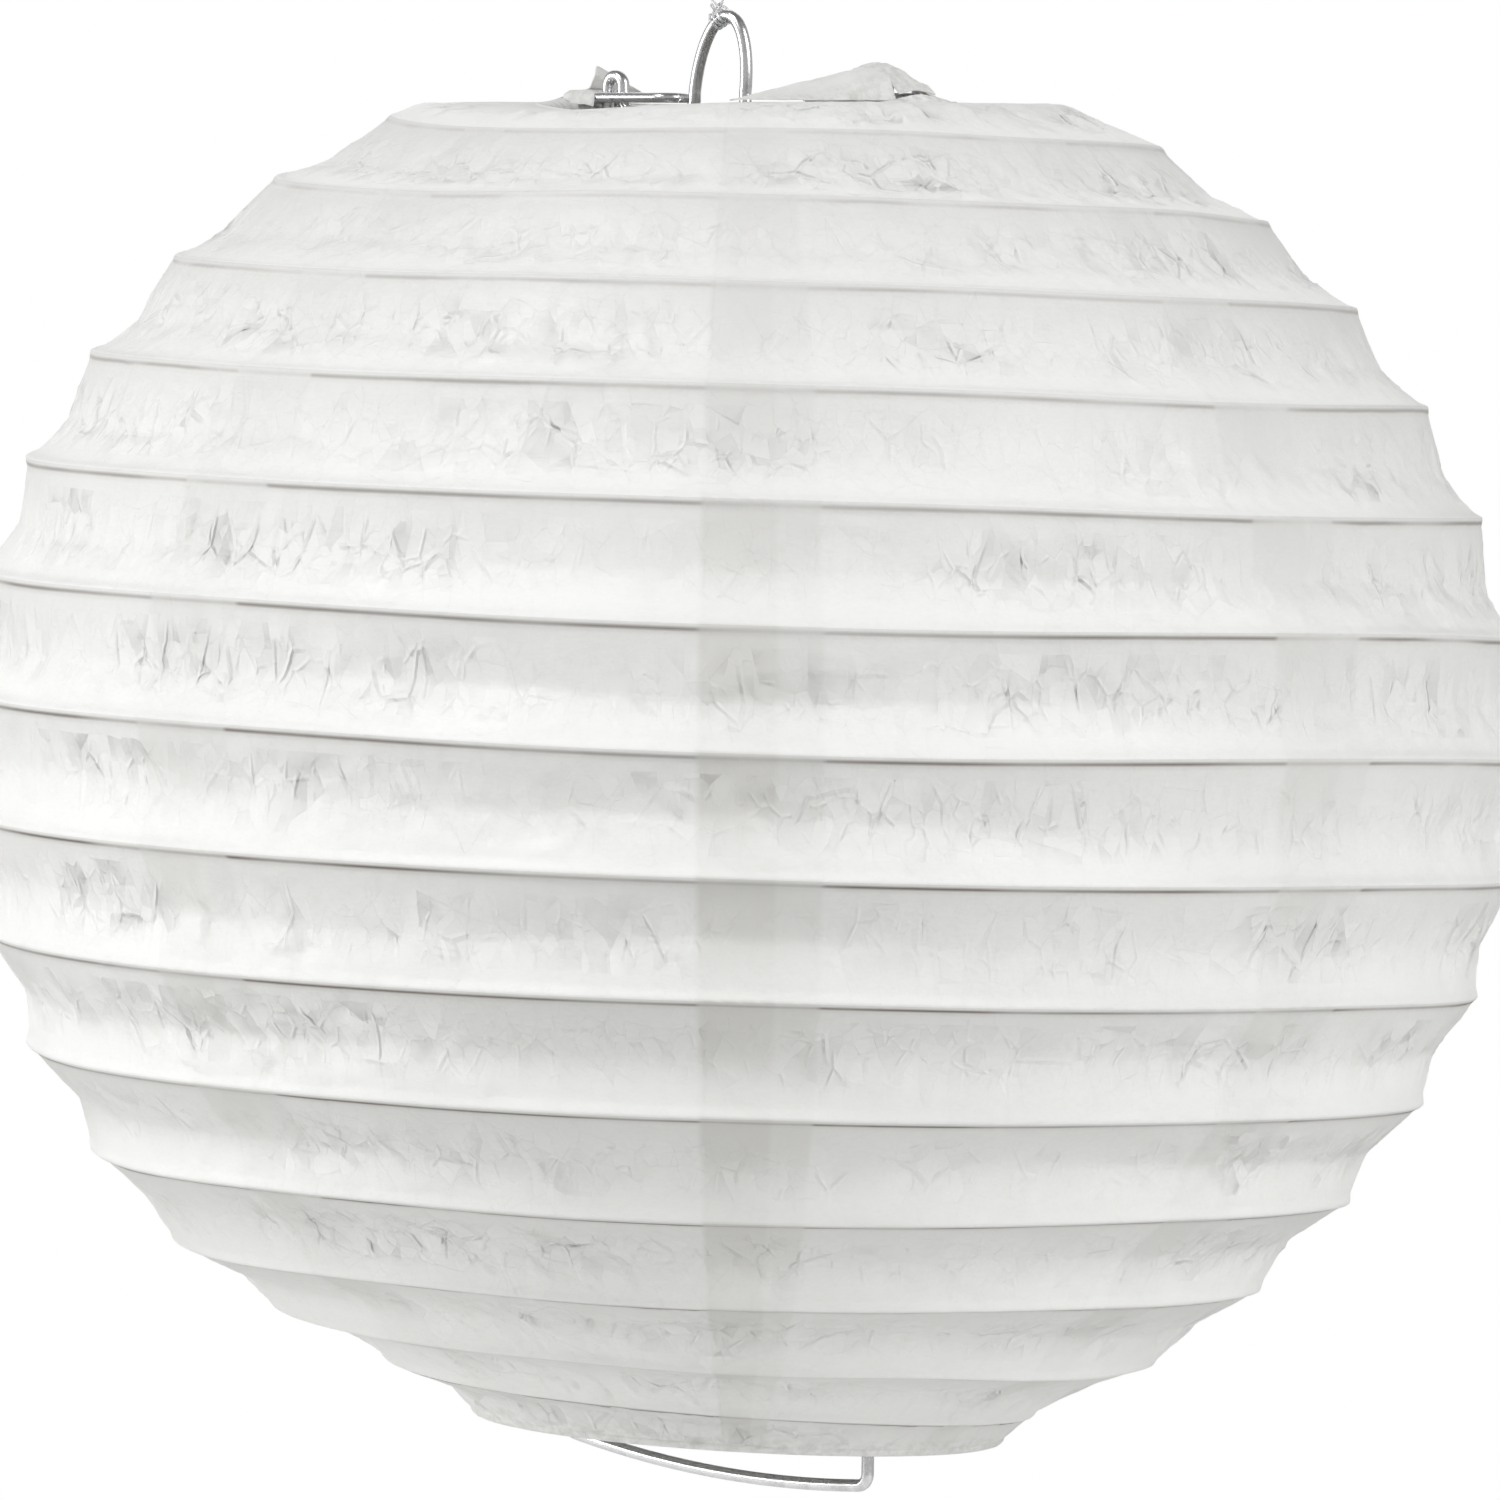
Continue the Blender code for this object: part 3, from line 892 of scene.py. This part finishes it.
EAR_WIRE = 0.0013
EAR_REACH = 0.0156
EAR_HALF_WIDTH = 0.0025
EAR_CURL = 0.0017
EAR_CURL_END = math.radians(-150)
SHOULDER = 0.08155
HOOK_TOP = 0.0861
HOOK_OUTER = 0.0240
HOOK_INNER = 0.0214
BEND = 0.0016
ARCH_MIDDLE = -0.0046
ARCH_HALF_WIDTH = 0.00435
ARCH_LEAN = -AXIS_X - ARCH_MIDDLE
ARCH_SPRING = 0.0840
ARCH_RISE = EXPANDER_WIRE / 2 - GLOBE_MIDDLE - ARCH_SPRING
FOOT_RIGHT = (0.0223, -0.0928)
FOOT_LEFT = (-0.0295, -0.0893)
FOOT_BOW = 0.0018
PATH_STEP = 0.0015  # between points on a straight stretch
PATH_MERGE = 0.0001  # points nearer than this are one
THREAD_RADIUS = 0.00017


def arc(centre, radius, start, end, steps):
    turn = np.linspace(start, end, steps + 1)
    return [(centre[0] + radius * math.cos(a), centre[1] + radius * math.sin(a)) for a in turn]


def rounded(before, corner, after, radius, steps=8):
    """The bend that replaces a corner."""
    corner = Vector(corner)
    one = (Vector(before) - corner).normalized()
    two = (Vector(after) - corner).normalized()
    half = one.angle(two) / 2
    centre = corner + (one + two).normalized() * radius / math.sin(half)
    start = corner + one * radius / math.tan(half) - centre
    end = corner + two * radius / math.tan(half) - centre
    sweep = start.angle(end)
    found = []
    for i in range(steps + 1):
        a, b = math.sin(sweep * (1 - i / steps)), math.sin(sweep * i / steps)
        found.append(tuple(centre + (start * a + end * b) / math.sin(sweep)))
    return found


def arch_point(angle):
    across = ARCH_MIDDLE + ARCH_HALF_WIDTH * math.cos(angle) + ARCH_LEAN * math.sin(angle)
    return across, ARCH_SPRING + ARCH_RISE * math.sin(angle)


def bar_point(share):
    across, up = Vector(FOOT_LEFT).lerp(Vector(FOOT_RIGHT), share)
    return across, up - 4 * FOOT_BOW * share * (1 - share)


def hook(side):
    half = (HOOK_OUTER - HOOK_INNER) / 2
    bend = arc(((HOOK_OUTER + HOOK_INNER) / 2, HOOK_TOP - half), half, 0, math.pi, 14)
    return [(side * across, up) for across, up in bend]


def run(start, end, count):
    """Points between two ends, both left out."""
    return [
        (start[0] + (end[0] - start[0]) * i / count, start[1] + (end[1] - start[1]) * i / count)
        for i in range(1, count)
    ]


def expander_path():
    right, left = hook(1), hook(-1)
    foot_right, foot_left = arch_point(0), arch_point(math.pi)
    corners = [
        (HOOK_INNER, SHOULDER),
        (foot_right[0], SHOULDER),
        (foot_left[0], SHOULDER),
        (-HOOK_INNER, SHOULDER),
    ]
    bar = [bar_point(i / 24) for i in range(1, 24)]
    pieces = [
        right,
        rounded(right[-1], corners[0], corners[1], BEND),
        rounded(corners[0], corners[1], foot_right, BEND)[:-1],
        [arch_point(math.pi * i / 36) for i in range(37)],
        rounded(foot_left, corners[2], corners[3], BEND)[1:],
        rounded(corners[2], corners[3], left[-1], BEND),
        list(reversed(left)),
        rounded(left[0], FOOT_LEFT, bar[0], BEND),
        bar,
        rounded(bar[-1], FOOT_RIGHT, right[0], BEND),
    ]
    path = []
    for piece in pieces:
        if path:
            gap = math.dist(path[-1], piece[0])
            path += run(path[-1], piece[0], max(1, int(gap / PATH_STEP)))
        path += piece
    path += run(path[-1], path[0], int(math.dist(path[-1], path[0]) / PATH_STEP))
    found = [path[0]]
    for point in path[1:]:
        if math.dist(point, found[-1]) > PATH_MERGE:
            found.append(point)
    return [(AXIS_X + across, 0, GLOBE_MIDDLE + up) for across, up in found]


def build_expander(look):
    return tube("expander", expander_path(), EXPANDER_WIRE / 2, look, 18, closed=True)


def build_ear(name, side, look):
    curl = arc((0, 0), EAR_CURL, EAR_CURL_END, math.radians(90), 18)
    tip = arc(
        (EAR_HALF_WIDTH - EAR_REACH, 0), EAR_HALF_WIDTH, math.radians(-90), math.radians(-270), 20
    )
    straight = [(-(EAR_REACH - EAR_HALF_WIDTH) * i / 12, EAR_CURL) for i in range(1, 12)]
    path = [(across, -EAR_HALF_WIDTH, up) for across, up in curl + straight]
    path += [(across, deep, EAR_CURL) for across, deep in tip]
    path += [(across, EAR_HALF_WIDTH, up) for across, up in reversed(curl + straight)]
    centre = Vector((AXIS_X + side * TOP_RING_RADIUS, 0, TOP_RING.z))
    path = [centre + Vector((side * x, side * y, z)) for x, y, z in path]
    return tube(name, path, EAR_WIRE / 2, look, 16)


def build_ring(name, centre, radius, look):
    turn = math.tau * np.arange(144) / 144
    path = np.stack([centre.x + radius * np.cos(turn), radius * np.sin(turn), 0 * turn + centre.z], -1)
    path = settle(path, np.full(len(turn), -0.5 if centre.z > GLOBE_MIDDLE else TURNS + 0.5))
    return tube(name, path, RING_WIRE / 2, look, 14, closed=True)


def build_rib(look):
    """The spiral wire, close under the paper's beads."""
    turns = np.arange(96 * TURNS + 1) / 96
    angle = RIB_START + math.tau * turns
    out, down = rib_sway(angle, turns)
    moved = turns + down / BAND
    radius, height = outline(moved)
    in_r, in_z = inwards(moved)
    depth = PAPER + 0.00012 + RIB_WIRE / 2 - out * MM
    path = settle(place(radius + in_r * depth, height + in_z * depth, angle), turns)
    return tube("rib", path, RIB_WIRE / 2, look, 10)


def build_thread(look):
    """Clear thread wrapped and knotted round the arch, its two tails cut short."""
    place_on = math.radians(105)
    centre = Vector(arch_point(place_on))
    along = (Vector(arch_point(place_on + 0.01)) - centre).normalized()
    out = Vector((along.y, -along.x))
    reach = EXPANDER_WIRE / 2 + 0.00030

    def at(turn, shift, lift=0.0):
        across, up = centre + along * shift + out * (reach + lift) * math.cos(turn)
        return (AXIS_X + across, (reach + lift) * math.sin(turn), GLOBE_MIDDLE + up)

    wraps = [
        at(math.tau * i / 16, (i / 48 - 0.5) * 0.0021, 0.00008 * math.sin(i * 1.9))
        for i in range(49)
    ]
    knot_centre = Vector(at(0, 0, 0.00055))
    knot = []
    for i in range(34):
        a = math.tau * i / 17
        knot.append(
            knot_centre
            + Vector(
                (
                    0.00046 * math.cos(a) + 0.0002 * math.cos(2 * a),
                    0.00052 * math.sin(a + 0.4),
                    0.00040 * math.sin(2 * a) + 0.00012 * math.cos(a),
                )
            )
        )
    up = Vector((out.x, 0, out.y))
    side = Vector((along.x, 0, along.y))
    one = [knot[-1] + up * d + side * d * 0.35 + Vector((0, -0.1, 0)) * d for d in (0.0007, 0.0014, 0.0021)]
    two = [knot[0] + up * d * 0.7 - side * d * 0.9 for d in (0.0016, 0.0009)]
    path = two + [Vector(w) for w in knot] + one
    loop = tube("thread_wraps", smooth_path(wraps, 3), THREAD_RADIUS, look, 10)
    knotted = tube("thread_knot", smooth_path(path, 3), THREAD_RADIUS, look, 10)
    return loop, knotted


# ---------------------------------------------------------------- the lantern

paper = paper_material()
rib_steel = wire_material("rib_steel", (0.50, 0.48, 0.45), 0.38, (0.34, 0.32, 0.29))
bright = wire_material("bright_wire", (0.70, 0.70, 0.71), 0.24, (0.52, 0.52, 0.52))
nylon = thread_material()


def fold_with_globe(piece):
    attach(piece, "globe")
    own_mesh(piece)


for number in range(GORES):
    sheet, hem = build_gore(number, paper)
    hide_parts(f"paper_gore_{number + 1}")
    fold_with_globe(sheet)
    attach(hem, "lower_ring")

for build in (right_tent, right_tail, left_tent):
    flap = build(paper)
    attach(flap, "globe")

for build, ear, facing in (
    (right_sleeve, "right_ear", 0),
    (left_sleeve, "left_ear", math.pi),
    (left_root, "left_ear", math.pi),
):
    flap = build(paper)
    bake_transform(flap)

rib = build_rib(rib_steel)
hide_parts("rib_spiral")
fold_with_globe(rib)

hoop = build_ring("top_hoop", TOP_RING, TOP_RING_RADIUS, rib_steel)
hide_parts("top_ring")
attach(hoop, "globe")

low_hoop = build_ring("bottom_hoop", BOTTOM_RING, BOTTOM_RING_RADIUS, rib_steel)
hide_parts("bottom_ring")
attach(low_hoop, "lower_ring")

expander = build_expander(bright)
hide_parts("expander_wire")
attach(expander, "expander")

for ear_name, ear_side, node, body in (
    ("left_ear_wire", -1, "ear_left", "left_ear"),
    ("right_ear_wire", 1, "ear_right", "right_ear"),
):
    ear = build_ear(ear_name, ear_side, bright)
    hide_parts(node)
    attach(ear, body)

wraps, knot = build_thread(nylon)
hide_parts("thread_tie")
for piece in (wraps, knot):
    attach(piece, "expander")


# ---------------------------------------------------------------- studio

def camera_frame():
    """Unit vectors to the camera's right and from the globe back to the camera."""
    right = Vector((math.cos(CAMERA_AZIMUTH), math.sin(CAMERA_AZIMUTH), 0))
    back = Vector((math.sin(CAMERA_AZIMUTH), -math.cos(CAMERA_AZIMUTH), 0))
    return right, back


def add_camera():
    right, level_back = camera_frame()
    globe = Vector((AXIS_X, 0, GLOBE_MIDDLE)) + right * CAMERA_ASIDE
    back = level_back * math.cos(CAMERA_ELEVATION) + Vector((0, 0, math.sin(CAMERA_ELEVATION)))
    data = bpy.data.cameras.new("camera")
    data.sensor_width = 36
    data.lens = data.sensor_width * CAMERA_DISTANCE / CAMERA_WIDTH
    data.clip_start = 0.05
    camera = new_object("camera", data)
    camera.location = globe + back * CAMERA_DISTANCE
    camera.rotation_mode = "QUATERNION"
    roll = Quaternion((0, 0, 1), CAMERA_ROLL)
    camera.rotation_quaternion = (-back).to_track_quat("-Z", "Y") @ roll
    bpy.context.scene.camera = camera


def add_light(name, across, towards, up, size, power):
    """A soft square lamp, placed by how far it is to the right, towards the camera and up, in metres."""
    right, back = camera_frame()
    globe = Vector((AXIS_X, 0, GLOBE_MIDDLE))
    data = bpy.data.lights.new(name, "AREA")
    data.shape = "SQUARE"
    data.size = size
    data.energy = power
    lamp = new_object(name, data)
    lamp.location = globe + right * across + back * towards + Vector((0, 0, up))
    lamp.rotation_mode = "QUATERNION"
    lamp.rotation_quaternion = (globe - lamp.location).to_track_quat("-Z", "Y")
    return lamp


def add_world():
    """White behind the lantern, and a dimmer studio, darker low down, for light and reflections."""
    world = bpy.data.worlds.new("studio")
    world.use_nodes = True
    bpy.context.scene.world = world
    tree = world.node_tree
    tree.nodes.clear()
    output = tree.nodes.new("ShaderNodeOutputWorld")
    seen, lit = tree.nodes.new("ShaderNodeBackground"), tree.nodes.new("ShaderNodeBackground")
    seen.inputs[0].default_value = (1, 1, 1, 1)
    way = tree.nodes.new("ShaderNodeTexCoord")
    split = tree.nodes.new("ShaderNodeSeparateXYZ")
    ramp = tree.nodes.new("ShaderNodeValToRGB")
    tree.links.new(way.outputs["Generated"], split.inputs[0])
    rise = tree.nodes.new("ShaderNodeMapRange")
    rise.inputs[1].default_value = -1
    rise.inputs[2].default_value = 1
    tree.links.new(split.outputs[2], rise.inputs[0])
    tree.links.new(rise.outputs[0], ramp.inputs[0])
    stops = ramp.color_ramp.elements
    stops[0].position, stops[0].color = 0.20, (0.62, 0.62, 0.62, 1)
    stops[1].position, stops[1].color = 0.90, (0.34, 0.34, 0.34, 1)
    horizon = stops.new(0.52)
    horizon.color = (0.95, 0.95, 0.95, 1)
    tree.links.new(ramp.outputs[0], lit.inputs[0])
    lit.inputs[1].default_value = 0.60
    path = tree.nodes.new("ShaderNodeLightPath")
    mix = tree.nodes.new("ShaderNodeMixShader")
    tree.links.new(path.outputs["Is Camera Ray"], mix.inputs[0])
    tree.links.new(lit.outputs[0], mix.inputs[1])
    tree.links.new(seen.outputs[0], mix.inputs[2])
    tree.links.new(mix.outputs[0], output.inputs[0])


def add_floor():
    bpy.ops.mesh.primitive_circle_add(vertices=96, radius=2.2, fill_type="NGON")
    floor = bpy.context.object
    floor.name = "floor"
    floor.location = (AXIS_X, 0, GLOBE_MIDDLE - 0.40)
    floor.data.materials.append(floor_material())


add_camera()
add_light("key", -1.10, 0.85, 1.35, 0.45, 19.5)
add_light("side", -1.50, 0.10, 0.28, 0.7, 9)
add_light("fill", 1.20, 0.80, 0.65, 0.8, 15)
add_light("back", 0.1, -1.1, 0.8, 1.0, 3)
add_world()
add_floor()
bpy.context.scene.view_settings.view_transform = "Standard"
